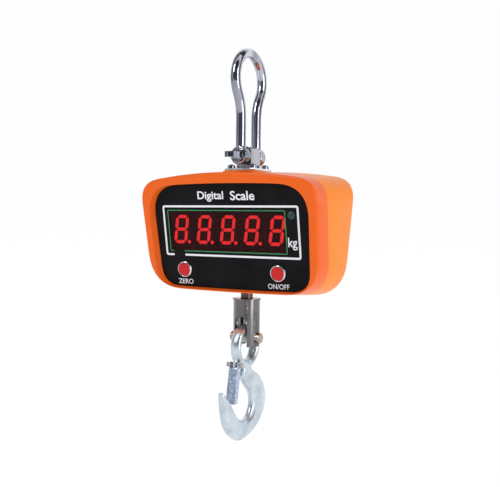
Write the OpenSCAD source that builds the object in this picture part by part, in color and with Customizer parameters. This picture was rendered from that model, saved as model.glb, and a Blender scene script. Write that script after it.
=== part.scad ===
// Digital crane scale: shackle on top, display housing around a load cell, swivel barrel and safety hook.
// Millimetres. X right, Y back, Z up. The origin is the crown of the shackle bow's inside.

/* [Housing] */
// Width of the housing across its top corners
top_width = 203; // [196:0.5:212]
// Width of the housing across its bottom corners
bottom_width = 195; // [190:0.5:202]
// Height of the front outline between corners
front_height = 110.5; // [106:0.1:116]
// Rise of the curved top above its corners
crown = 9.6; // [4:0.2:12]
// Depth of the housing half way up
depth = 81.5; // [80:0.1:90]
// Lean of the front face, its top forward, in degrees
front_lean = 9.8; // [6:0.1:11]
// Lean of the back face, its top back, in degrees
rear_lean = 7.5; // [4:0.1:9]
// Thickness of the housing wall
wall = 2.8; // [2:0.1:3.2]
// Depth of the front panel below the rim
recess = 6.2; // [5:0.1:7]

/* [Display] */
// Distance from one digit to the next
digit_pitch = 27.9; // [26:0.1:28]
// Height of a digit
digit_height = 29.8; // [26:0.1:31]
// Slant of the digits in degrees
digit_slant = 11.3; // [0:1:12]

/* [Shackle] */
// Thickness of the bow's rod
bow_rod = 10.5; // [9:0.1:10.5]
// Thickness of the screw pin
pin_d = 11; // [9:0.1:12]

/* [Swivel and hook] */
// Diameter of the swivel barrel
barrel_d = 27.6; // [27:0.1:30]
// Length of the swivel barrel
barrel_len = 49.5; // [49:0.1:52]
// Thickness of the hook
hook_thick = 11.6; // [9:0.1:12.2]
// Angle at which the latch stands at rest, from vertical, in degrees
latch_angle = 10; // [6:0.5:11]

/* [Hidden] */

fine = 96;
hc = -183.9;
pin_z = -101;
pin_r = pin_d / 2;
leg_y = 15.8;
plate_z = -116.3;
barrel_top = -247.9;
barrel_bottom = barrel_top - barrel_len;
hook_pin_z = -288.7;
hook_pin_r = 5.4;
neck_r = 6.3;
seal_r = 10;
slot_r = 7;
slot_z = -273;
eye_y = -2;
eye_z = -297.75;
latch_y = -22.6;
latch_z = -314.6;
window_w = 135.2;
window_h = 40.4;
window_u = -4.5;
window_v = 5.7;
digit_left = -69.3;
digit_base = -8;
lamp_u = 70.5;
lamp_v = 22.7;
button_at = [[-57.3, -35], [52.1, -35.1]];
rear_reach = 39.15;
front_reach = depth - rear_reach;
cover_deep = 23.2;
screw_at = [[-92, 37], [92, 37], [-76, -38], [76, -38]];
strap_post_at = [[-89, 18], [-30.5, 18], [30.5, 18], [89, 18]];
board_post_at = [[-20, -28], [20, -28], [-20, 34], [20, 34]];
post_at = concat(strap_post_at, board_post_at);

// Outline of the housing and of its panel
function bez(a, b, c, n) = [for (i = [0:n]) let (t = i / n) (1-t)*(1-t)*a + 2*t*(1-t)*b + t*t*c];
function rim(wt, wb, h, ct, cb, lt, lb, n) =
    let (
        tr = [wt/2, h/2],
        br = [wb/2, -h/2],
        side = (tr - br) / norm(tr - br),
        bx = wb/2 - lb,
        tx = wt/2 - lt,
        bottom = [for (i = [0:3]) let (x = bx*i/4) [x, -h/2 - cb*(1 - pow(2*x/wb, 2))]],
        c1 = bez([bx, -h/2 - cb*(1 - pow(2*bx/wb, 2))], br, br + side*lb, n),
        c2 = bez(tr - side*lt, tr, [tx, h/2 + ct*(1 - pow(2*tx/wt, 2))], n),
        top = [for (i = [5:-1:0]) let (x = tx*i/6) [x, h/2 + ct*(1 - pow(2*x/wt, 2))]],
        half = concat(bottom, c1, c2, top),
        m = len(half)
    )
    concat(half, [for (i = [m-2:-1:1]) [-half[i][0], half[i][1]]]);

module front_outline(i)
    polygon(rim(top_width - 2*i, bottom_width - 2*i, front_height - 2*i, crown, 1.8, 21 - 0.4*i, 36 - 0.5*i, 8));
module rear_outline(i)
    polygon(rim(top_width - 2*i, bottom_width - 2*i, front_height + 8.5 - 2*i, crown, 1.8,
        21 - 0.4*i, 36 - 0.5*i, 8));
module panel_outline()
    polygon(rim(top_width - 23.7, bottom_width - 24, front_height - 6.4, 2.9, 1.1, 31, 20, 12));
module opening_outline()
    polygon(rim(top_width - 16.4, bottom_width - 16.6, front_height - 4.8, 2.9, 1.1, 33, 22, 12));

// Frames on the leaning faces: local z points out of the face
module on_front(w = 0) translate([0, -front_reach, hc]) rotate([90 + front_lean, 0, 0]) translate([0, 0, w]) children();
module on_panel(w = 0) translate([0, -front_reach + recess, hc]) rotate([90 + front_lean, 0, 0])
    translate([0, 0, w]) children();
module on_rear(w = 0) translate([0, rear_reach, hc]) rotate([-90 - rear_lean, 0, 0]) translate([0, 0, w]) children();
module slab(w1, w2) on_front() translate([-130, -110, w1]) cube([260, 220, w2 - w1]);
function back_at(v) = (depth + v*(sin(front_lean) + cos(front_lean)*tan(rear_lean)))
    / (cos(front_lean) - sin(front_lean)*tan(rear_lean));

module body_outer() hull() {
    for (a = [0:30:90])
        on_front(-2.2*(1 - sin(a)) - 0.02) linear_extrude(0.02) front_outline(2.2*(1 - cos(a)));
    for (a = [0:30:90])
        on_rear(-5*(1 - sin(a)) - 0.02) linear_extrude(0.02) mirror([0, 1]) rear_outline(5*(1 - cos(a)));
}
module body_inner() hull() {
    on_front(-wall) linear_extrude(0.02) front_outline(wall);
    on_rear(-wall - 0.02) linear_extrude(0.02) mirror([0, 1]) rear_outline(wall);
}

// Shackle: the bow's rod is swept along a big arc, two reverse arcs and two straight legs
bow_big = 27.5;
bow_dip = 39.8;
bow_s = (pow(bow_big - leg_y, 2) + bow_dip*bow_dip) / (2*(bow_big - leg_y));
bow_phi = asin(bow_dip / bow_s);
// Each entry is y, z and the direction of the normal that lies in the bow's plane
function bow_path() = let (
        cz = bow_rod/2 - bow_big,
        s = bow_s,
        f = bow_phi,
        right = concat(
            [[leg_y, pin_z - 3, 180], [leg_y, (pin_z + cz - bow_dip)/2, 180]],
            [for (i = [0:5]) let (a = 180 - f*i/6)
                [s*cos(f) + (s - bow_big)*cos(a), cz - bow_dip + (s - bow_big)*sin(a), a]],
            [for (i = [0:15]) let (a = -f + (90 + f)*i/16) [bow_big*cos(a), cz + bow_big*sin(a), a + 180]]),
        n = len(right))
    concat(right, [[0, cz + bow_big, 270]],
        [for (i = [n-1:-1:0]) [-right[i][0], right[i][1], 180 - right[i][2] + 360]]);
module swept(path, r, m) {
    n = len(path);
    polyhedron(
        points = concat(
            [for (p = path, k = [0:m-1]) let (a = 360*k/m)
                [r*cos(a), p[0] + r*sin(a)*cos(p[2]), p[1] + r*sin(a)*sin(p[2])]],
            [[0, path[0][0], path[0][1]], [0, path[n-1][0], path[n-1][1]]]),
        faces = concat(
            [for (k = [0:m-1]) [n*m, (k+1)%m, k]],
            [for (i = [0:n-2], k = [0:m-1]) [i*m + k, i*m + (k+1)%m, (i+1)*m + (k+1)%m]],
            [for (i = [0:n-2], k = [0:m-1]) [i*m + k, (i+1)*m + (k+1)%m, (i+1)*m + k]],
            [for (k = [0:m-1]) [n*m + 1, (n-1)*m + k, (n-1)*m + (k+1)%m]]));
}
module shackle_bow() color("silver") difference() {
    union() {
        swept(bow_path(), bow_rod/2, 20);
        for (k = [-1, 1]) {
            translate([0, k*leg_y + 5.4, pin_z]) rotate([90, 0, 0]) cylinder(h = 10.8, r = 9, $fn = fine);
            translate([0, k*leg_y + 4.2, pin_z]) rotate([90, 0, 0]) cylinder(h = 8.4, r = 9.6, $fn = fine);
        }
    }
    translate([0, 40, pin_z]) rotate([90, 0, 0]) cylinder(h = 80, r = pin_r, $fn = fine);
}
module shackle_pin() color("silver") {
    difference() {
        translate([0, 24, pin_z]) rotate([90, 0, 0]) cylinder(h = 47, r = pin_r, $fn = fine);
        translate([0, 24, pin_z]) rotate([-90, 0, 0]) translate([0, 0, -1.2])
            difference() {
                cylinder(h = 2, r = 8, $fn = fine);
                cylinder(h = 1.2, r1 = pin_r, r2 = pin_r - 1.2, $fn = fine);
            }
    }
    translate([0, -leg_y - 5.4, pin_z]) rotate([90, 0, 0]) cylinder(h = 3.2, r = 7, $fn = fine);
    difference() {
        intersection() {
            translate([-5.2, -40.5, pin_z - 2.8]) cube([10.4, 17.5, 5.6]);
            translate([0, -31.5, pin_z - 5]) cylinder(h = 10, r = 9, $fn = fine);
        }
        translate([0, -35, pin_z - 5]) cylinder(h = 10, r = 1.9, $fn = 48);
    }
}

// Load cell and the parts that seal it to the housing
module load_cell() color("gainsboro") difference() {
    union() {
        intersection() {
            translate([-8.5, -9.5, -125]) cube([17, 19, 36]);
            union() {
                translate([0, 20, pin_z]) rotate([90, 0, 0]) cylinder(h = 40, r = 10.3, $fn = fine);
                translate([-9, -10, -126]) cube([18, 20, 126 + pin_z]);
            }
        }
        translate([-15, -11, -232]) cube([30, 22, 108]);
    }
    translate([0, 20, pin_z]) rotate([90, 0, 0]) cylinder(h = 40, r = pin_r + 0.08, $fn = fine);
    for (k = [-1, 1]) {
        translate([0, 20, -178 + 13*k]) rotate([90, 0, 0]) cylinder(h = 40, r = 9, $fn = fine);
        translate([k < 0 ? -30 : 0, -20, -178 + 13*k - 1]) cube([30, 40, 2]);
    }
    translate([0, 0, -240]) cylinder(h = 26, r = neck_r, $fn = fine);
}
module strain_gauges() color("khaki") for (x = [-1, 1], z = [-1, 1])
    translate([x*12 - 2, -11.4, -178 + z*20 - 3]) cube([4, 0.4, 6]);
module plate_spots() for (x = [-1, 1], y = [-1, 1]) translate([12.7*x, 12.7*y, 0]) children();
module top_plate() color("lightgrey") difference() {
    translate([-18, -18, plate_z]) cube([36, 36, 2.4]);
    translate([-8.5, -9.5, plate_z - 1]) cube([17, 19, 5]);
    translate([0, 0, plate_z - 1]) plate_spots() cylinder(h = 5, r = 2, $fn = 48);
}
module plate_screws() color("silver") plate_spots() {
    translate([0, 0, plate_z - 5]) cylinder(h = 7.4, r = 2, $fn = 48);
    difference() {
        intersection() {
            translate([0, 0, plate_z + 2.4]) cylinder(h = 5, r = 4.2, $fn = 48);
            translate([0, 0, plate_z + 2]) sphere(r = 5.2, $fn = 64);
        }
        translate([0, 0, plate_z + 5.4]) cylinder(h = 4, r = 1.6, $fn = 6);
    }
}
module top_seal() color("dimgray") difference() {
    translate([-11, -11.5, plate_z - 4]) cube([22, 23, 4]);
    translate([-8.5, -9.5, plate_z - 5]) cube([17, 19, 6]);
}
module bottom_seal() color("dimgray") translate([0, 0, -241.4]) difference() {
    cylinder(h = 4, r = seal_r, $fn = fine);
    translate([0, 0, -1]) cylinder(h = 7, r = neck_r, $fn = fine);
}
module seal_hole() translate([0, 0, -250]) cylinder(h = 14, r = seal_r, $fn = fine);

// Housing
module front_cover() color("darkorange") difference() {
    intersection() {
        body_outer();
        slab(-cover_deep, 10);
    }
    difference() {
        intersection() {
            body_inner();
            slab(-90, -recess*cos(front_lean) - 4);
        }
        for (p = screw_at) on_front(-cover_deep) translate([p[0], p[1], 0]) cylinder(h = 17, r = 5, $fn = 48);
    }
    hull() {
        on_panel(-1.6) translate([0, -0.5, 0]) linear_extrude(0.02) panel_outline();
        on_panel(recess + 1) translate([0, -0.5, 0]) linear_extrude(0.02) opening_outline();
    }
    on_panel(-10) translate([-74, window_v - 20, 0]) cube([141.6, 40, 12]);
    for (b = button_at) on_panel(-10) translate([b[0], b[1], 0]) cylinder(h = 12, r = 7.9, $fn = fine);
    on_panel(-10) translate([lamp_u, lamp_v, 0]) cylinder(h = 12, r = 2.6, $fn = 48);
    for (p = screw_at) on_front(-cover_deep - 1) translate([p[0], p[1], 0]) cylinder(h = 11, r = 1.7, $fn = 48);
    seal_hole();
}
module rear_shell() color("orange") difference() {
    union() {
        intersection() {
            body_outer();
            slab(-200, -cover_deep - 0.6);
        }
        translate([-19, -19, plate_z - 6]) cube([38, 38, 6]);
    }
    difference() {
        body_inner();
        translate([-19, -19, plate_z - 6]) cube([38, 38, 6]);
        for (p = screw_at) on_front(-120) translate([p[0], p[1], 0]) cylinder(h = 119.4 - cover_deep, r = 5, $fn = 48);
        for (p = post_at) translate([p[0], 31, hc + p[1]]) rotate([-90, 0, 0]) cylinder(h = 30, r = 4, $fn = 48);
    }
    translate([-11, -11.5, plate_z - 10]) cube([22, 23, 20]);
    translate([-18.3, -18.3, plate_z]) cube([36.6, 36.6, 8]);
    translate([0, 0, plate_z - 5]) plate_spots() cylinder(h = 8, r = 2, $fn = 48);
    seal_hole();
    for (p = screw_at) {
        on_front(-130) translate([p[0], p[1], 0]) cylinder(h = 129, r = 1.7, $fn = 48);
        on_front(-130) translate([p[0], p[1], 0]) cylinder(h = 138 - back_at(p[1]), r = 3.6, $fn = 48);
    }
    for (p = post_at) translate([p[0], 30, hc + p[1]]) rotate([-90, 0, 0]) cylinder(h = 5, r = 1.3, $fn = 48);
    on_rear(-20) translate([62, 30, 0]) cylinder(h = 30, r = 5, $fn = fine);
}
module case_gasket() color("dimgray") difference() {
    intersection() {
        body_outer();
        slab(-cover_deep - 0.6, -cover_deep);
    }
    body_inner();
    for (p = screw_at) on_front(-cover_deep - 2) translate([p[0], p[1], 0]) cylinder(h = 4, r = 1.7, $fn = 48);
    seal_hole();
}
module case_screws() color("silver") for (p = screw_at) on_front() translate([p[0], p[1], 0]) {
    translate([0, 0, 8 - back_at(p[1])]) cylinder(h = back_at(p[1]) - cover_deep + 1, r = 1.7, $fn = 48);
    translate([0, 0, 5.2 - back_at(p[1])]) difference() {
        cylinder(h = 2.8, r = 3.2, $fn = 48);
        for (a = [0, 90]) rotate([0, 0, a]) translate([-2.2, -0.4, -1]) cube([4.4, 0.8, 2.2]);
    }
}

// Front panel and display
module front_panel() color([0.06, 0.06, 0.07]) difference() {
    on_panel(-1.6) translate([0, -0.5, 0]) linear_extrude(1.6) panel_outline();
    on_panel(-3) translate([window_u - window_w/2, window_v - window_h/2, 0]) cube([window_w, window_h, 6]);
    for (b = button_at) on_panel(-3) translate([b[0], b[1], 0]) cylinder(h = 6, r = 7.9, $fn = fine);
    on_panel(-3) translate([lamp_u, lamp_v, 0]) cylinder(h = 6, r = 3.4, $fn = 48);
}
module display_window() color([0.35, 0.05, 0.05, 0.5])
    on_panel(-1.3) translate([window_u - window_w/2, window_v - window_h/2, 0]) cube([window_w, window_h, 1.2]);
function lean(p) = [p[0] + p[1]*tan(digit_slant), p[1]];
// One bar of a digit between two points, with pointed ends
module bar(a, b, w) {
    d = (b - a) / norm(b - a);
    n = [-d[1], d[0]];
    g = 0.7;
    p = a + d*g;
    q = b - d*g;
    linear_extrude(0.4) polygon([for (v = [p, p + (d - n)*w/2, q - (d + n)*w/2, q, q - (d - n)*w/2, p + (d + n)*w/2])
        lean(v)]);
}
module digit(dot) {
    w = 3.3;
    l = w/2;
    r = 15.8 - w/2;
    b = w/2;
    t = digit_height - w/2;
    m = digit_height/2;
    for (s = [[[l, b], [r, b]], [[l, m], [r, m]], [[l, t], [r, t]], [[l, b], [l, m]], [[l, m], [l, t]],
        [[r, b], [r, m]], [[r, m], [r, t]]]) bar(s[0], s[1], w);
    if (dot) translate([19.2, 1.8, 0]) cylinder(h = 0.4, r = 1.8, $fn = 32);
}
module digit_segments() color("red") on_panel(-2)
    for (i = [0:4]) translate([digit_left + i*digit_pitch, digit_base, 0]) digit(i < 4);
module digit_modules() color([0.12, 0.06, 0.06]) on_panel(-9.9)
    for (i = [0:4]) translate([digit_left - 3.2 + i*digit_pitch, window_v - 19, 0]) cube([digit_pitch - 0.2, 38, 7.9]);
module display_board() color("green") difference() {
    on_panel(-11.5) translate([-80, window_v - 22, 0]) cube([154, 44, 1.6]);
    for (p = [[-77, 20], [-77, -10], [71, 12], [71, -12]]) on_panel(-13) translate([p[0], p[1], 0])
        cylinder(h = 5, r = 1.2, $fn = 32);
}
module board_spacers() color("white") {
    for (p = [[-77, 20], [-77, -10], [71, 12], [71, -12]]) {
        on_panel(-9.9) translate([p[0], p[1], 0]) cylinder(h = 5.9, r = 2.5, $fn = 48);
        on_panel(-13.5) translate([p[0], p[1], 0]) cylinder(h = 2, r = 2.4, $fn = 48);
        on_panel(-11.5) translate([p[0], p[1], 0]) cylinder(h = 1.6, r = 1.2, $fn = 32);
    }
}
module indicator_lamp() color([0.1, 0.3, 0.25]) on_panel() translate([lamp_u, lamp_v, 0]) {
    translate([0, 0, -9.9]) cylinder(h = 8.3, r = 2.6, $fn = 48);
    translate([0, 0, -1.6]) cylinder(h = 1.9, r = 3.4, $fn = 48);
    intersection() {
        translate([0, 0, -1.4]) sphere(r = 3, $fn = 48);
        cylinder(h = 3, r = 2.4, $fn = 48);
    }
}

// Push buttons
module cap() {
    difference() {
        intersection() {
            translate([0, 0, -6]) cylinder(h = 9, r = 6.75, $fn = fine);
            translate([0, 0, -23.4]) sphere(r = 26, $fn = 128);
        }
        translate([0, 0, 28.2]) sphere(r = 26.2, $fn = 128);
    }
    translate([0, 0, -14]) cylinder(h = 9, r = 1.5, $fn = 48);
}
module bezel() difference() {
    union() {
        translate([0, 0, -15]) cylinder(h = 15, r = 7.9, $fn = fine);
        cylinder(h = 1, r = 8.6, $fn = fine);
        translate([0, 0, 1]) cylinder(h = 0.9, r1 = 8.6, r2 = 7.6, $fn = fine);
    }
    translate([0, 0, -16]) cylinder(h = 20, r = 7.1, $fn = fine);
}
module at_button(i) on_panel() translate([button_at[i][0], button_at[i][1], 0]) children();
module zero_button() color("red") at_button(0) cap();
module power_button() color("red") at_button(1) cap();
module zero_bezel() color("silver") at_button(0) bezel();
module power_bezel() color("silver") at_button(1) bezel();
module bezel_nuts() color("silver") for (i = [0, 1]) at_button(i) translate([0, 0, -6.5]) difference() {
    cylinder(h = 2.5, r = 10.6, $fn = 6);
    translate([0, 0, -1]) cylinder(h = 5, r = 7.9, $fn = fine);
}
module button_switches() color("dimgray") for (i = [0, 1]) at_button(i) translate([0, 0, -23]) difference() {
    translate([-7.5, -7.5, 0]) cube([15, 15, 8]);
    translate([0, 0, 3]) cylinder(h = 6, r = 1.9, $fn = 48);
}

// Boards, battery and charging
module main_board() color("green") difference() {
    translate([-24, 29.4, hc - 33]) cube([48, 1.6, 72]);
    for (p = board_post_at) translate([p[0], 25, hc + p[1]]) rotate([-90, 0, 0]) cylinder(h = 8, r = 1.3, $fn = 48);
}
module board_chips() color([0.1, 0.1, 0.1]) {
    translate([-7, 26.9, hc - 14]) cube([14, 2.5, 14]);
    translate([-11, 25.4, hc + 12]) cube([22, 4, 8]);
    for (x = [-6, 6]) translate([x, 29.4, hc - 24]) rotate([90, 0, 0]) cylinder(h = 11, r = 3.2, $fn = 48);
}
module battery() color([0.15, 0.15, 0.17]) for (k = [0, 1]) mirror([k, 0, 0])
    translate([36, -14, hc - 19]) cube([48, 42, 70]);
module battery_strap() color("silver") for (k = [0, 1]) mirror([k, 0, 0]) difference() {
    union() {
        translate([34.6, -15.4, hc + 8]) cube([50.8, 46.4, 20]);
        translate([26.6, 29.6, hc + 8]) cube([66, 1.4, 20]);
    }
    translate([36, -14, hc + 4]) cube([48, 60, 28]);
    for (p = strap_post_at) translate([p[0], 25, hc + p[1]]) rotate([-90, 0, 0]) cylinder(h = 8, r = 1.3, $fn = 48);
}
module post_screws() color("silver") for (p = post_at) {
    y = abs(p[1] - 18) < 1 ? 29.6 : 29.4;
    translate([p[0], y - 2, hc + p[1]]) rotate([-90, 0, 0]) {
        cylinder(h = 2, r = 2.6, $fn = 48);
        cylinder(h = 35 - y, r = 1.3, $fn = 48);
    }
}
module charger_socket() color([0.1, 0.1, 0.1]) on_rear() translate([62, 30, 0]) difference() {
    union() {
        translate([0, 0, -13]) cylinder(h = 13, r = 5, $fn = fine);
        cylinder(h = 1.5, r = 6.8, $fn = fine);
    }
    translate([0, 0, -8]) cylinder(h = 12, r = 2.75, $fn = fine);
}

// Swivel
module swivel_shaft() color("silver") translate([0, 0, -266]) cylinder(h = 52, r = neck_r, $fn = fine);
module shaft_nut() color("silver") difference() {
    translate([0, 0, -264.5]) cylinder(h = 6.5, r = 8.6, $fn = fine);
    translate([0, 0, -266]) cylinder(h = 10, r = neck_r, $fn = fine);
}
module thrust_bearing() color("gainsboro") {
    for (z = [-258, -254.4]) difference() {
        translate([0, 0, z]) cylinder(h = 1.2, r = 8.6, $fn = fine);
        translate([0, 0, z - 1]) cylinder(h = 3.2, r = neck_r, $fn = fine);
    }
    for (a = [0:36:324]) rotate([0, 0, a]) translate([7.5, 0, -255.6]) sphere(r = 1.1, $fn = 24);
}
module swivel_barrel() color("gray") difference() {
    union() {
        translate([0, 0, barrel_bottom]) cylinder(h = barrel_len, r = barrel_d/2, $fn = 128);
        translate([0, 0, barrel_top - 1.6]) cylinder(h = 1.6, r = barrel_d/2 + 1, $fn = 128);
    }
    translate([0, 0, barrel_top - 10]) cylinder(h = 20, r = neck_r + 0.08, $fn = fine);
    translate([0, 0, barrel_bottom - 1]) cylinder(h = barrel_len - 4, r = 9, $fn = fine);
    translate([-slot_r, -20, barrel_bottom - 1]) cube([2*slot_r, 40, slot_z - barrel_bottom + 1]);
    translate([0, 20, slot_z]) rotate([90, 0, 0]) cylinder(h = 40, r = slot_r, $fn = fine);
    translate([-30, 0, hook_pin_z]) rotate([0, 90, 0]) cylinder(h = 60, r = hook_pin_r, $fn = fine);
}
module barrel_pin() color("silver") translate([0, 0, hook_pin_z]) rotate([0, 90, 0]) {
    translate([0, 0, -16.7]) cylinder(h = 33.4, r = hook_pin_r, $fn = fine);
    translate([0, 0, 16.7]) cylinder(h = 0.9, r1 = hook_pin_r, r2 = hook_pin_r - 0.9, $fn = fine);
    translate([0, 0, -17.6]) cylinder(h = 0.9, r1 = hook_pin_r - 0.9, r2 = hook_pin_r, $fn = fine);
}

// Hook: stations of outer y, outer z, inner y, inner z and half thickness, from the eye to the tip
stations = [[7, -312, -9, -312, 5], [5.5, -319, -12, -321, 5.6], [11.5, -325, -12, -327.5, 5.75],
    [22, -330, -8, -333.5, 5.75], [32.5, -339.5, -2, -340, 5.75], [38, -350.5, 5.5, -347, 5.75],
    [38.8, -360, 8.8, -355, 5.75], [35.5, -370.5, 8.5, -363, 5.75], [25, -381.5, 5, -369, 5.75],
    [11.5, -389, 0.5, -373, 5.75], [-3, -393, -5.5, -374.5, 5.75], [-17, -394, -12.5, -373.3, 5.75],
    [-30.5, -387.5, -18.5, -370, 5.75], [-42, -376.5, -24, -365, 5.75], [-46.8, -364, -28.5, -360, 5.75],
    [-48.8, -352.5, -34.2, -353, 5.4], [-50.3, -344.5, -40.5, -347, 4.6], [-51.3, -340, -44.6, -343, 3.6],
    [-50.8, -337.6, -47, -339.2, 2.2]];
function cat(a, b, c, d, t) = 0.5*(2*b + (c - a)*t + (2*a - 5*b + 4*c - d)*t*t + (3*b - a - 3*c + d)*t*t*t);
function station(i) = stations[max(0, min(len(stations) - 1, i))];
function smooth_stations(n) = [for (i = [0:len(stations) - 2], j = [0:n-1])
    cat(station(i-1), station(i), station(i+1), station(i+2), j/n), station(len(stations) - 1)];
function rnd(c) = sign(c)*pow(abs(c), 0.8);
function ring_at(s, m) = [for (k = [0:m-1]) let (a = 360*k/m, c = rnd(cos(a)), q = rnd(sin(a)))
    [q*s[4]*hook_thick/11.6, (s[0] + s[2])/2 + c*(s[0] - s[2])/2, (s[1] + s[3])/2 + c*(s[1] - s[3])/2]];
function middle(s) = [0, (s[0] + s[2])/2, (s[1] + s[3])/2];
module hook_blade() {
    m = 20;
    ss = smooth_stations(3);
    n = len(ss);
    polyhedron(
        points = concat([for (s = ss) each ring_at(s, m)], [middle(ss[0]), middle(ss[n-1])]),
        faces = concat(
            [for (k = [0:m-1]) [n*m, k, (k+1)%m]],
            [for (i = [0:n-2], k = [0:m-1]) [i*m + k, (i+1)*m + (k+1)%m, i*m + (k+1)%m]],
            [for (i = [0:n-2], k = [0:m-1]) [i*m + k, (i+1)*m + k, (i+1)*m + (k+1)%m]],
            [for (k = [0:m-1]) [n*m + 1, (n-1)*m + (k+1)%m, (n-1)*m + k]]));
}
module hook_eye() translate([0, eye_y, eye_z]) rotate([0, 90, 0]) rotate_extrude($fn = fine)
    polygon([for (a = [0:18:342]) [19.1 + 4*rnd(cos(a)), hook_thick/2*rnd(sin(a))]]);
module hook() color("lightsteelblue") difference() {
    union() {
        hook_blade();
        hook_eye();
        translate([-2, latch_y, latch_z - 3.2]) cube([4, 10, 7.2]);
        translate([-2, latch_y, latch_z]) rotate([0, 90, 0]) cylinder(h = 4, r = 3.2, $fn = fine);
    }
    translate([-10, latch_y, latch_z]) rotate([0, 90, 0]) cylinder(h = 20, r = 1.6, $fn = fine);
}

// Safety latch, drawn hanging straight down and then turned to rest
module at_latch() translate([0, latch_y, latch_z]) rotate([-latch_angle, 0, 0]) children();
module latch() color("lightgrey") at_latch() difference() {
    union() {
        translate([-5.3, -2.8, -39.4]) cube([10.6, 6.2, 35.4]);
        for (x = [-5.3, 4.2]) translate([x, 0, 0]) {
            translate([0, -2.8, -5]) cube([1.1, 6, 5]);
            rotate([0, 90, 0]) cylinder(h = 1.1, r = 3.2, $fn = fine);
        }
    }
    translate([-4.2, -1.7, -50]) cube([8.4, 20, 60]);
    translate([-10, 0, 0]) rotate([0, 90, 0]) cylinder(h = 20, r = 1.68, $fn = fine);
    translate([-10, 0.4, -39.4]) rotate([30, 0, 0]) translate([0, 0, -10]) cube([20, 12, 10]);
}
module latch_pin() color("silver") translate([0, latch_y, latch_z]) rotate([0, 90, 0]) {
    translate([0, 0, -9]) cylinder(h = 18, r = 1.6, $fn = fine);
    for (z = [-9, 7.4]) translate([0, 0, z]) cylinder(h = 1.6, r = 2.3, $fn = 48);
}
module latch_spring() color("gray") for (k = [0, 1]) mirror([k, 0, 0]) translate([0, latch_y, latch_z]) {
    for (x = [2.55, 3.4]) translate([x, 0, 0]) rotate([0, 90, 0]) rotate_extrude($fn = 64)
        translate([2.3, 0]) circle(0.42, $fn = 24);
    translate([2.85, -1.4, -1.95]) rotate([-122, 0, 0]) cylinder(h = 11.5, r = 0.4, $fn = 24);
}

shackle_bow();
shackle_pin();
load_cell();
strain_gauges();
top_plate();
plate_screws();
top_seal();
front_cover();
rear_shell();
case_gasket();
case_screws();
front_panel();
display_window();
digit_segments();
digit_modules();
display_board();
board_spacers();
indicator_lamp();
zero_button();
zero_bezel();
power_button();
power_bezel();
bezel_nuts();
button_switches();
main_board();
board_chips();
battery();
battery_strap();
post_screws();
charger_socket();
bottom_seal();
swivel_shaft();
shaft_nut();
thrust_bearing();
swivel_barrel();
barrel_pin();
hook();
latch();
latch_pin();
latch_spring();
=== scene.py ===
"""Looks of a hanging digital crane scale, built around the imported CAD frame. Metres."""

import math

import bpy
from mathutils import Matrix, Vector


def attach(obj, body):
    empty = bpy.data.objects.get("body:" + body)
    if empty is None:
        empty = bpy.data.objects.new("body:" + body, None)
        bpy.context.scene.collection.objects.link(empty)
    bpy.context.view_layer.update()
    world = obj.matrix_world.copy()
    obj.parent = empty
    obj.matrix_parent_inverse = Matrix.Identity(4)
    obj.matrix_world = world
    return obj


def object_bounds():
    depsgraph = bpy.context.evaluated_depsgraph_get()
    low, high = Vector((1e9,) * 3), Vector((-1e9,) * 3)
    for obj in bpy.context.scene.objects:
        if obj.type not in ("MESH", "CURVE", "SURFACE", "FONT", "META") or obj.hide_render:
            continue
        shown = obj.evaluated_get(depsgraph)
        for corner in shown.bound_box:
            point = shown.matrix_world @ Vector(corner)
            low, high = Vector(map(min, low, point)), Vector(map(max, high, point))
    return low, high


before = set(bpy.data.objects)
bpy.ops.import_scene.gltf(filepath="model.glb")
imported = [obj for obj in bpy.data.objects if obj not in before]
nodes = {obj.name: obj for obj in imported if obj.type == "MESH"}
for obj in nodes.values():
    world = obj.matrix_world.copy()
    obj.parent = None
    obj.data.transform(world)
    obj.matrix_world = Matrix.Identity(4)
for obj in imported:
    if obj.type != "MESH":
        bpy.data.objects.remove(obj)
cad_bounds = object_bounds()
MM = 0.001

# ---------------------------------------------------------------- camera

# Fitted to points read off the photograph, in pixels and in millimetres from the housing's centre.
# The offset is where that centre lies as the camera sees it: right, down and away.
AZ, EL, ROLL = (math.radians(a) for a in (29.55, 1.74, -0.64))
HOUSING_Z = -183.9
CAMERA_OFFSET = Vector((-2.63, -7.13, 832.13))
FOCAL_PX, IMAGE_W, SENSOR = 800, 500, 36
CLIP_START = 0.02


def add_camera():
    forward = Vector((-math.sin(AZ) * math.cos(EL), math.cos(AZ) * math.cos(EL), -math.sin(EL)))
    right = Vector((math.cos(AZ), math.sin(AZ), 0))
    down = forward.cross(right)
    x = math.cos(ROLL) * right + math.sin(ROLL) * down
    y = -math.sin(ROLL) * right + math.cos(ROLL) * down
    t = CAMERA_OFFSET
    place = -(x * t.x + y * t.y + forward * t.z) + Vector((0, 0, HOUSING_Z))
    cam = bpy.data.cameras.new("camera")
    cam.sensor_width = SENSOR
    cam.lens = FOCAL_PX / IMAGE_W * SENSOR
    cam.clip_start = CLIP_START
    obj = bpy.data.objects.new("camera", cam)
    m = Matrix((x, -y, -forward)).transposed().to_4x4()
    m.translation = place * MM
    obj.matrix_world = m
    bpy.context.scene.collection.objects.link(obj)
    bpy.context.scene.camera = obj


# ---------------------------------------------------------------- materials

WHITE, BLACK = (1, 1, 1), (0, 0, 0)
BROAD_DETAIL, FINE_DETAIL, WEAR_DETAIL = 5.0, 3.0, 6.0
# Worn patches, in features per metre, and the shallowest and sharpest pointiness of a worn edge
WEAR_SCALE = 140
WORN_EDGE = (0.53, 0.6)
MIN_ROUGH = 0.02
BUMP_DEPTH = 0.0004
# A Mix node's colour sockets come after those for numbers and vectors
MIX_A, MIX_B, MIX_RESULT = 6, 7, 2


def node(tree, kind, **sockets):
    n = tree.nodes.new(kind)
    for key, value in sockets.items():
        n.inputs[key.replace("_", " ")].default_value = value
    return n


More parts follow.
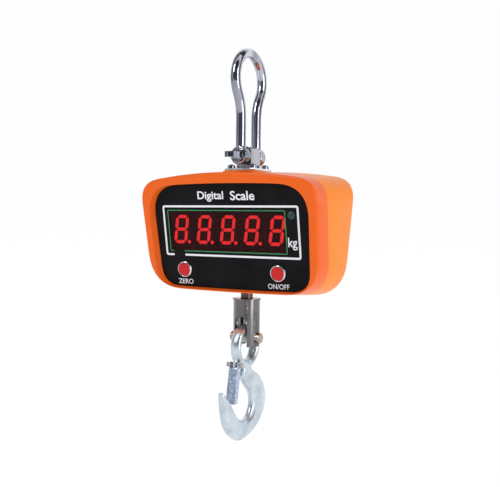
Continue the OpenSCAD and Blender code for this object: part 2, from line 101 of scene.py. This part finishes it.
def noise(tree, coords, scale, detail, stretch=None):
    """A noise texture in object space, its scale in features per metre."""
    n = node(tree, "ShaderNodeTexNoise", Scale=scale, Detail=detail)
    if stretch:
        m = node(tree, "ShaderNodeMapping", Scale=stretch)
        tree.links.new(coords, m.inputs["Vector"])
        coords = m.outputs["Vector"]
    tree.links.new(coords, n.inputs["Vector"])
    return n.outputs["Fac"]


def ramp(tree, fac, stops):
    """A colour ramp over fac, from pairs of a place on the ramp and a colour."""
    r = tree.nodes.new("ShaderNodeValToRGB")
    while len(r.color_ramp.elements) < len(stops):
        r.color_ramp.elements.new(0.5)
    for e, (pos, col) in zip(r.color_ramp.elements, stops):
        e.position = pos
        e.color = (*col, 1)
    tree.links.new(fac, r.inputs["Fac"])
    return r.outputs["Color"]


def shade(c, k):
    return tuple(min(1.0, max(0.0, v * k)) for v in c)


def material(name, base, rough=0.4, metal=0.0, vary=0.08, spots=60, grain=900, bump=0.05, streak=None,
             wear=0.0, worn=(0.5, 0.5, 0.5), rough_vary=0.08, sockets=None, dark=None):
    """A finish with colour variation, roughness variation, fine bump and wear on its edges.

    base is its mean colour and dark replaces the darker end of the variation; spots and grain are
    the broad and the fine noise in features per metre, stretched by streak; wear is how much of
    the worn colour shows on sharp edges; sockets are constants for the shader's other sockets.
    """
    m = bpy.data.materials.new(name)
    m.use_nodes = True
    t = m.node_tree
    bsdf = t.nodes["Principled BSDF"]
    bsdf.inputs["Metallic"].default_value = metal
    for key, value in (sockets or {}).items():
        bsdf.inputs[key].default_value = value
    coords = t.nodes.new("ShaderNodeTexCoord").outputs["Object"]
    broad = noise(t, coords, spots, BROAD_DETAIL, streak)
    colour = ramp(t, broad, [(0.3, dark or shade(base, 1 - vary)), (0.7, shade(base, 1 + vary))])
    fine = noise(t, coords, grain, FINE_DETAIL, streak)
    smoothest, roughest = max(MIN_ROUGH, rough - rough_vary), min(1, rough + rough_vary)
    rough_ramp = ramp(t, fine, [(0.25, (smoothest,) * 3), (0.75, (roughest,) * 3)])
    if wear:
        geo = t.nodes.new("ShaderNodeNewGeometry")
        edge = ramp(t, geo.outputs["Pointiness"], [(WORN_EDGE[0], BLACK), (WORN_EDGE[1], WHITE)])
        patch = ramp(t, noise(t, coords, WEAR_SCALE, WEAR_DETAIL), [(0.5, BLACK), (0.68, (wear,) * 3)])
        mask = node(t, "ShaderNodeMix")
        mask.data_type = "RGBA"
        mask.blend_type = "MULTIPLY"
        mask.inputs["Factor"].default_value = 1.0
        t.links.new(edge, mask.inputs[MIX_A])
        t.links.new(patch, mask.inputs[MIX_B])
        mix = node(t, "ShaderNodeMix")
        mix.data_type = "RGBA"
        t.links.new(mask.outputs[MIX_RESULT], mix.inputs["Factor"])
        t.links.new(colour, mix.inputs[MIX_A])
        mix.inputs[MIX_B].default_value = (*worn, 1)
        colour = mix.outputs[MIX_RESULT]
    t.links.new(colour, bsdf.inputs["Base Color"])
    t.links.new(rough_ramp, bsdf.inputs["Roughness"])
    b = node(t, "ShaderNodeBump", Strength=bump, Distance=BUMP_DEPTH)
    t.links.new(fine, b.inputs["Height"])
    t.links.new(b.outputs["Normal"], bsdf.inputs["Normal"])
    return m


def glowing(name, base, colour, strength):
    """A finish that also gives off light of its own colour."""
    m = material(name, base, rough=0.35, vary=0.12, spots=300)
    bsdf = m.node_tree.nodes["Principled BSDF"]
    bsdf.inputs["Emission Color"].default_value = (*colour, 1)
    bsdf.inputs["Emission Strength"].default_value = strength
    return m


MATS = {
    "orange_front": material("orange_enamel", (0.90, 0.135, 0.010), 0.3, vary=0.015, spots=18, grain=420,
                             bump=0.03, rough_vary=0.04, sockets={"Specular IOR Level": 0.2}),
    # Painted light: the rear shell is the same orange enamel as the front cover, made lighter and yellower
    # so that its sides look lit
    "orange_painted_lit_side": material("orange_enamel_painted_lit_shell", (1.0, 0.25, 0.010), 0.35, vary=0.015, spots=18,
                            grain=420, bump=0.03, rough_vary=0.04, sockets={"Specular IOR Level": 0.12}),
    "panel": material("panel_film", (0.0075, 0.0075, 0.0085), 0.4, vary=0.35, spots=35, grain=2400,
                      bump=0.05, rough_vary=0.06, sockets={"Specular IOR Level": 0.06}),
    "window": material("window_filter", (0.03, 0.002, 0.003), 0.3, vary=0.25, spots=25, grain=500,
                       bump=0.005, rough_vary=0.03, sockets={"Alpha": 0.45, "Specular IOR Level": 0.1}),
    "digits": glowing("digit_light", (0.8, 0.02, 0.02), (1.0, 0.032, 0.032), 2.2),
    "module": material("module_face", (0.028, 0.003, 0.003), 0.5, vary=0.2, spots=120, grain=1500,
                       bump=0.04),
    "shackle": material("bright_zinc", (0.66, 0.68, 0.74), 0.12, 1.0, vary=0.15, spots=45, grain=330,
                        bump=0.14, streak=(1, 1, 0.12), rough_vary=0.06, wear=0.5,
                        worn=(0.95, 0.95, 0.95), dark=(0.17, 0.18, 0.23)),
    "plate": material("plated_plate", (0.82, 0.83, 0.86), 0.18, 1.0, vary=0.12, spots=90, grain=700,
                      bump=0.08),
    "steel": material("machined_steel", (0.46, 0.46, 0.50), 0.22, 1.0, vary=0.3, spots=70, grain=900,
                      bump=0.12, streak=(1, 1, 0.12), wear=0.6, worn=(0.8, 0.8, 0.8)),
    "barrel": material("turned_barrel", (0.20, 0.19, 0.195), 0.14, 1.0, vary=0.4, spots=60, grain=420,
                       bump=0.14, streak=(1, 1, 0.2), wear=0.9, worn=(0.85, 0.84, 0.82),
                       dark=(0.07, 0.068, 0.07)),
    "neck": material("dark_neck", (0.10, 0.075, 0.07), 0.3, 1.0, vary=0.3, spots=90, grain=900,
                     bump=0.1),
    "pin": material("turned_pin", (0.42, 0.39, 0.36), 0.3, 1.0, vary=0.35, spots=160, grain=1200,
                    bump=0.15, wear=0.8, worn=(0.8, 0.79, 0.77)),
    "hook": material("galvanised", (0.62, 0.70, 0.75), 0.3, 0.8, vary=0.08, spots=90, grain=420,
                     bump=0.2, wear=0.7, worn=(0.9, 0.92, 0.94), dark=(0.46, 0.55, 0.62)),
    "latch": material("zinc_sheet", (0.62, 0.71, 0.84), 0.32, 0.8, vary=0.12, spots=380, grain=900,
                      bump=0.1, wear=0.9, worn=(0.88, 0.9, 0.95), dark=(0.22, 0.31, 0.48)),
    "wire": material("spring_wire", (0.22, 0.23, 0.26), 0.3, 1.0, vary=0.2, spots=300, grain=2000,
                     bump=0.08),
    "bezel": material("bright_bezel", (0.74, 0.74, 0.76), 0.1, 1.0, vary=0.08, spots=200, grain=1500,
                      bump=0.03, rough_vary=0.04),
    "button": material("red_button", (0.62, 0.008, 0.012), 0.34, vary=0.1, spots=150, grain=1400,
                       bump=0.05, wear=0.4, worn=(0.9, 0.2, 0.15), sockets={"Specular IOR Level": 0.3}),
    "rubber": material("black_rubber", (0.02, 0.02, 0.02), 0.7, vary=0.3, spots=200, grain=2500,
                       bump=0.2),
    "seam": material("seam_rubber", (0.55, 0.09, 0.008), 0.75, vary=0.3, spots=200, grain=2500,
                     bump=0.2),
    "board": material("solder_mask", (0.01, 0.12, 0.03), 0.4, vary=0.3, spots=400, grain=1500,
                      bump=0.08),
    "black_plastic": material("moulded_black", (0.022, 0.022, 0.024), 0.5, vary=0.3, spots=150,
                              grain=2600, bump=0.18),
    "nylon": material("white_nylon", (0.75, 0.75, 0.72), 0.5, vary=0.08, spots=200, grain=1500,
                      bump=0.06),
    "brass": material("plain_brass", (0.72, 0.54, 0.25), 0.3, 1.0, vary=0.15, spots=200, grain=1200,
                      bump=0.06),
    "film": material("gauge_film", (0.7, 0.45, 0.12), 0.45, vary=0.2, spots=500, grain=3000, bump=0.05),
    "lamp": material("lamp_lens", (0.012, 0.035, 0.035), 0.2, vary=0.2, spots=300, grain=2000,
                     bump=0.02),
    "lamp_ring": material("lamp_ring", (0.10, 0.42, 0.40), 0.35, vary=0.12, spots=300, grain=2000,
                          bump=0.03),
    "ink_white": material("white_ink", (0.86, 0.88, 0.93), 0.42, vary=0.05, spots=150, grain=2400,
                          bump=0.06),
    "ink_green": material("green_ink", (0.025, 0.24, 0.09), 0.42, vary=0.2, spots=150, grain=2400,
                          bump=0.06),
}
# Which CAD nodes have which finish
NODE_MATERIALS = {
    "shackle": ["shackle_bow", "shackle_pin", "plate_screws"],
    "plate": ["top_plate", "case_screws"],
    "neck": ["swivel_shaft"],
    "steel": ["load_cell", "shaft_nut", "thrust_bearing", "battery_strap", "post_screws"],
    "barrel": ["swivel_barrel"],
    "pin": ["barrel_pin", "latch_pin"],
    "hook": ["hook"],
    "latch": ["latch"],
    "wire": ["latch_spring"],
    "orange_front": ["front_cover"],
    # the rear shell gets the lighter copy of the orange, painted light on its sides
    "orange_painted_lit_side": ["rear_shell"],
    "seam": ["case_gasket"],
    "rubber": ["top_seal", "bottom_seal"],
    "panel": ["front_panel"],
    "window": ["display_window"],
    "digits": ["digit_segments"],
    "module": ["digit_modules"],
    "lamp": ["indicator_lamp"],
    "board": ["display_board", "main_board"],
    "black_plastic": ["board_chips", "battery", "charger_socket", "button_switches"],
    "nylon": ["board_spacers"],
    "brass": ["bezel_nuts"],
    "film": ["strain_gauges"],
    "bezel": ["zero_bezel", "power_bezel"],
    "button": ["zero_button", "power_button"],
}


# ---------------------------------------------------------------- CAD nodes' surfaces

WELD_DISTANCE = 2e-6
# Degrees: edges that bend less are shaded smooth, and edges that bend more get a small bevel
SMOOTH_BELOW, BEVEL_ABOVE = 32, 38
BEVEL_SEGMENTS = 3


def smooth_group(name, angle):
    """Geometry nodes that drop a CAD mesh's imported normals, weld it and smooth its gentle edges."""
    g = bpy.data.node_groups.new(name, "GeometryNodeTree")
    g.interface.new_socket("Geometry", in_out="INPUT", socket_type="NodeSocketGeometry")
    g.interface.new_socket("Geometry", in_out="OUTPUT", socket_type="NodeSocketGeometry")
    start = g.nodes.new("NodeGroupInput")
    end = g.nodes.new("NodeGroupOutput")
    drop = g.nodes.new("GeometryNodeRemoveAttribute")
    drop.inputs["Name"].default_value = "custom_normal"
    weld = g.nodes.new("GeometryNodeMergeByDistance")
    weld.inputs["Distance"].default_value = WELD_DISTANCE
    faces = g.nodes.new("GeometryNodeSetShadeSmooth")
    faces.domain = "FACE"
    faces.inputs["Shade Smooth"].default_value = True
    edges = g.nodes.new("GeometryNodeSetShadeSmooth")
    edges.domain = "EDGE"
    bend = g.nodes.new("GeometryNodeInputMeshEdgeAngle")
    test = g.nodes.new("FunctionNodeCompare")
    test.operation = "LESS_THAN"
    test.inputs[1].default_value = math.radians(angle)
    g.links.new(bend.outputs["Unsigned Angle"], test.inputs[0])
    g.links.new(test.outputs[0], edges.inputs["Shade Smooth"])
    chain = [start, drop, weld, faces, edges, end]
    for a, b in zip(chain, chain[1:]):
        out = a.outputs["Geometry"] if "Geometry" in a.outputs else a.outputs[0]
        g.links.new(out, b.inputs["Geometry"] if "Geometry" in b.inputs else b.inputs[0])
    return g


def add_modifier(obj, kind, **settings):
    m = obj.modifiers.new(kind.lower(), kind)
    for key, value in settings.items():
        setattr(m, key, value)
    return m


SMOOTH = smooth_group("weld_and_smooth", SMOOTH_BELOW)
# Bevel widths in metres
BEVELS = {
    "front_cover": 0.0008, "rear_shell": 0.0006, "swivel_barrel": 0.0005, "barrel_pin": 0.0003,
    "top_plate": 0.0005, "shackle_pin": 0.0007, "latch": 0.0003, "latch_pin": 0.0003, "load_cell": 0.0006,
    "zero_bezel": 0.0003, "power_bezel": 0.0003, "charger_socket": 0.0004, "zero_button": 0.0003,
    "power_button": 0.0003, "plate_screws": 0.0003,
}
# Forged and bent pieces are remeshed so that their parts flow into each other: voxel size in metres
# and passes of smoothing
FORGED = {"hook": (0.0007, 14), "shackle_bow": (0.0006, 10)}


def finish_cad_surfaces():
    """Give each CAD node its finish and its softened edges; the meshes themselves stay unchanged."""
    for finish, names in NODE_MATERIALS.items():
        for n in names:
            for s in nodes[n].material_slots:
                s.material = MATS[finish]
    for n, obj in nodes.items():
        m = add_modifier(obj, "NODES")
        m.node_group = SMOOTH
        if n in FORGED:
            voxel, passes = FORGED[n]
            add_modifier(obj, "REMESH", mode="VOXEL", voxel_size=voxel, use_smooth_shade=True)
            add_modifier(obj, "SMOOTH", factor=0.5, iterations=passes)
        elif n in BEVELS:
            add_modifier(obj, "BEVEL", width=BEVELS[n], segments=BEVEL_SEGMENTS, limit_method="ANGLE",
                         angle_limit=math.radians(BEVEL_ABOVE), use_clamp_overlap=True,
                         harden_normals=False)


# ---------------------------------------------------------------- printed panel

# The panel's plane as part.scad has it: its lean, the front face's reach from the part's axis and the
# depth of the panel below that face, in millimetres. Everything printed on it is in panel
# millimetres: x to the right, y up the panel and z out of it, from the housing's centre.
LEAN = math.radians(9.8)
FRONT_REACH, RECESS = 42.35, 6.2
PANEL_CENTRE = Vector((0, -FRONT_REACH + RECESS, HOUSING_Z)) * MM
PANEL = Matrix.Translation(PANEL_CENTRE) @ Matrix.Rotation(math.pi / 2 + LEAN, 4, "X")
INK_LOW, INK_HIGH = 0.02, 0.12

# Frames: left, bottom, right, top, corner radius, and where the gap in the bottom line begins and ends
WHITE_FRAME = (-77.75, -19.6, 77.75, 31.05, 1.6, (-68.9, -55.2))
GREEN_FRAME = (-72.67, -15.5, 63.73, 26.9, 1.2, (-69.0, -55.9))
WHITE_LINE, THIN_LINE = 2.1, 1.0
LAMP_AT, LAMP_RING_R, LAMP_RING_SIDES = (70.5, 22.7), 3.1, 32
CORNER_STEPS = 6

# Lettering: text, centre, width and height of its ink box, and how far its outline is thickened
LETTERING = {
    "title_left": ("Digital", (-18.9, 41.1), 30.5, 10.6, 0.018),
    "title_right": ("Scale", (18.0, 41.9), 27.5, 9.3, 0.018),
    "unit_mark": ("kg", (70.3, -5.3), 9.8, 12.2, 0.012),
    "zero_mark": ("ZERO", (-57.3, -47.9), 18.4, 5.2, 0.006),
    "power_mark": ("ON/OFF", (51.9, -48.4), 23.5, 5.2, 0.006),
}
LETTER_EXTRUDE, LETTER_STEPS = 0.01, 6


def put_on_panel(obj):
    obj.matrix_world = PANEL
    bpy.context.view_layer.update()
    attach(obj, "housing")


def new_object(name, mesh, mat):
    obj = bpy.data.objects.new(name, mesh)
    bpy.context.scene.collection.objects.link(obj)
    mesh.materials.append(MATS[mat])
    return obj


def corner_path(x0, y0, x1, y1, r, gap):
    """A rounded rectangle as a polyline that runs from the gap's right end round to its left end."""
    def arc(cx, cy, start):
        turns = [math.radians(start + 90 * i / CORNER_STEPS) for i in range(CORNER_STEPS + 1)]
        return [(cx + r * math.cos(a), cy + r * math.sin(a)) for a in turns]
    pts = [(gap[1], y0)] + arc(x1 - r, y0 + r, -90) + arc(x1 - r, y1 - r, 0)
    return pts + arc(x0 + r, y1 - r, 90) + arc(x0 + r, y0 + r, 180) + [(gap[0], y0)]


def ribbon(name, pts, width, mat):
    """A raised printed line along pts, in panel millimetres."""
    verts, faces = [], []
    n = len(pts)
    for i, p in enumerate(pts):
        a, b = Vector(pts[max(0, i - 1)]), Vector(pts[min(n - 1, i + 1)])
        d = (b - a).normalized()
        side = Vector((-d.y, d.x)) * width / 2
        for s in (1, -1):
            for z in (INK_LOW, INK_HIGH):
                verts.append((p[0] + s * side.x, p[1] + s * side.y, z))
    for i in range(n - 1):
        a, b = 4 * i, 4 * i + 4
        faces += [(a + 1, b + 1, b + 3, a + 3), (a, a + 2, b + 2, b),
                  (a, b, b + 1, a + 1), (a + 2, a + 3, b + 3, b + 2)]
    e = 4 * (n - 1)
    faces += [(0, 1, 3, 2), (e, e + 2, e + 3, e + 1)]
    mesh = bpy.data.meshes.new(name)
    mesh.from_pydata([[c * MM for c in v] for v in verts], [], faces)
    mesh.update()
    put_on_panel(new_object(name, mesh, mat))


def lettering(name, text, centre, width, height, bold):
    """Raised lettering whose ink box is width by height, centred, in panel millimetres."""
    curve = bpy.data.curves.new(name + "_text", "FONT")
    curve.body = text
    curve.size = 1
    curve.offset = bold
    curve.extrude = LETTER_EXTRUDE
    curve.resolution_u = LETTER_STEPS
    source = bpy.data.objects.new(name + "_source", curve)
    bpy.context.scene.collection.objects.link(source)
    bpy.context.view_layer.update()
    graph = bpy.context.evaluated_depsgraph_get()
    mesh = bpy.data.meshes.new_from_object(source.evaluated_get(graph))
    bpy.data.objects.remove(source)
    lo = Vector([min(v.co[k] for v in mesh.vertices) for k in range(3)])
    hi = Vector([max(v.co[k] for v in mesh.vertices) for k in range(3)])
    for v in mesh.vertices:
        f = [(v.co[k] - lo[k]) / (hi[k] - lo[k]) for k in range(3)]
        v.co = Vector((centre[0] + (f[0] - 0.5) * width, centre[1] + (f[1] - 0.5) * height,
                       INK_LOW + f[2] * (INK_HIGH - INK_LOW))) * MM
    mesh.materials.clear()
    mesh.name = name
    put_on_panel(new_object(name, mesh, "ink_white"))


def print_panel():
    ribbon("white_frame", corner_path(*WHITE_FRAME), WHITE_LINE, "ink_white")
    turns = [2 * math.pi * i / LAMP_RING_SIDES for i in range(LAMP_RING_SIDES + 1)]
    ring = [(LAMP_AT[0] + LAMP_RING_R * math.cos(a), LAMP_AT[1] + LAMP_RING_R * math.sin(a)) for a in turns]
    ribbon("lamp_ring", ring, THIN_LINE, "lamp_ring")
    ribbon("green_frame", corner_path(*GREEN_FRAME), THIN_LINE, "ink_green")
    for name, letters in LETTERING.items():
        lettering(name, *letters)


# ---------------------------------------------------------------- studio

# The paper backdrop, in metres: how far below the part it lies, how far behind the part it stands,
# its height, the radius of its bend and half its width
PAPER_DROP, PAPER_BACK, PAPER_HEIGHT, PAPER_BEND, PAPER_HALF = 0.035, 2.2, 3.5, 1.2, 6.0
PAPER_STEPS = 16
PAPER_GLOW = (0.945, 0.945, 0.955)
# Brightness of the surroundings, on a ramp from what faces the object's front (0) to what is behind (1)
GLOW = [(0.0, (0.16, 0.16, 0.18)), (0.24, (0.05, 0.05, 0.06)), (0.3, (1.3, 1.3, 1.3)),
        (0.42, (1.3, 1.3, 1.3)), (0.47, (0.05, 0.05, 0.06)), (0.62, (0.10, 0.10, 0.12)),
        (0.7, (1.0, 1.0, 1.0))]
GLOW_STRENGTH = 0.75
# Soft lights: place and size in metres, power in watts
LIGHTS = {
    "key": ((-0.5, -1.3, 0.9), (0.5, 0.7), 10),
    "side": ((1.4, -0.3, 0.1), (0.5, 1.2), 9),
}
LIGHT_AIM = (0, 0, -0.2)


def add_area(name, place, size, power):
    light = bpy.data.lights.new(name, "AREA")
    light.shape = "RECTANGLE"
    light.size, light.size_y = size
    light.energy = power
    obj = bpy.data.objects.new(name, light)
    obj.location = place
    obj.rotation_euler = (Vector(LIGHT_AIM) - Vector(place)).to_track_quat("-Z", "Y").to_euler()
    bpy.context.scene.collection.objects.link(obj)


def cove(floor_z, wall_y, height, bend, half):
    """Paper that runs along the floor and up behind the object in one curve."""
    arc = [math.radians(90 * i / PAPER_STEPS) for i in range(PAPER_STEPS + 1)]
    line = [(-half, floor_z)]
    line += [(wall_y - bend + bend * math.sin(a), floor_z + bend - bend * math.cos(a)) for a in arc]
    line.append((wall_y, floor_z + height))
    verts = [(x, y, z) for y, z in line for x in (-half, half)]
    faces = [(2 * i, 2 * i + 1, 2 * i + 3, 2 * i + 2) for i in range(len(line) - 1)]
    mesh = bpy.data.meshes.new("floor")
    mesh.from_pydata(verts, [], faces)
    mesh.polygons.foreach_set("use_smooth", [True] * len(faces))
    return mesh


def add_paper():
    """An evenly glowing paper sheet, square to the camera."""
    floor_z = cad_bounds[0][2] - PAPER_DROP
    m = material("studio_paper", (0.05, 0.05, 0.05), 0.9, vary=0.01, spots=3, grain=200, bump=0.01)
    bsdf = m.node_tree.nodes["Principled BSDF"]
    bsdf.inputs["Emission Color"].default_value = (*PAPER_GLOW, 1)
    bsdf.inputs["Emission Strength"].default_value = 1.0
    mesh = cove(floor_z, PAPER_BACK, PAPER_HEIGHT, PAPER_BEND, PAPER_HALF)
    mesh.transform(Matrix.Rotation(AZ, 4, "Z"))
    mesh.materials.append(m)
    floor = bpy.data.objects.new("floor", mesh)
    bpy.context.scene.collection.objects.link(floor)


def add_surroundings():
    """A world whose brightness changes only from the front of the object to its back."""
    world = bpy.data.worlds.new("studio")
    world.use_nodes = True
    t = world.node_tree
    coords = t.nodes.new("ShaderNodeTexCoord").outputs["Generated"]
    turn = node(t, "ShaderNodeMapping", Rotation=(0, 0, -AZ))
    t.links.new(coords, turn.inputs["Vector"])
    split = t.nodes.new("ShaderNodeSeparateXYZ")
    t.links.new(turn.outputs["Vector"], split.inputs["Vector"])
    span = node(t, "ShaderNodeMapRange")
    span.inputs["From Min"].default_value = -1
    t.links.new(split.outputs["Y"], span.inputs["Value"])
    glow = ramp(t, span.outputs["Result"], GLOW)
    t.links.new(glow, t.nodes["Background"].inputs["Color"])
    t.nodes["Background"].inputs["Strength"].default_value = GLOW_STRENGTH
    bpy.context.scene.world = world


def add_studio():
    add_paper()
    add_surroundings()
    bpy.context.scene.view_settings.view_transform = "Standard"
    for name, settings in LIGHTS.items():
        add_area(name, *settings)


add_camera()
finish_cad_surfaces()
print_panel()
add_studio()
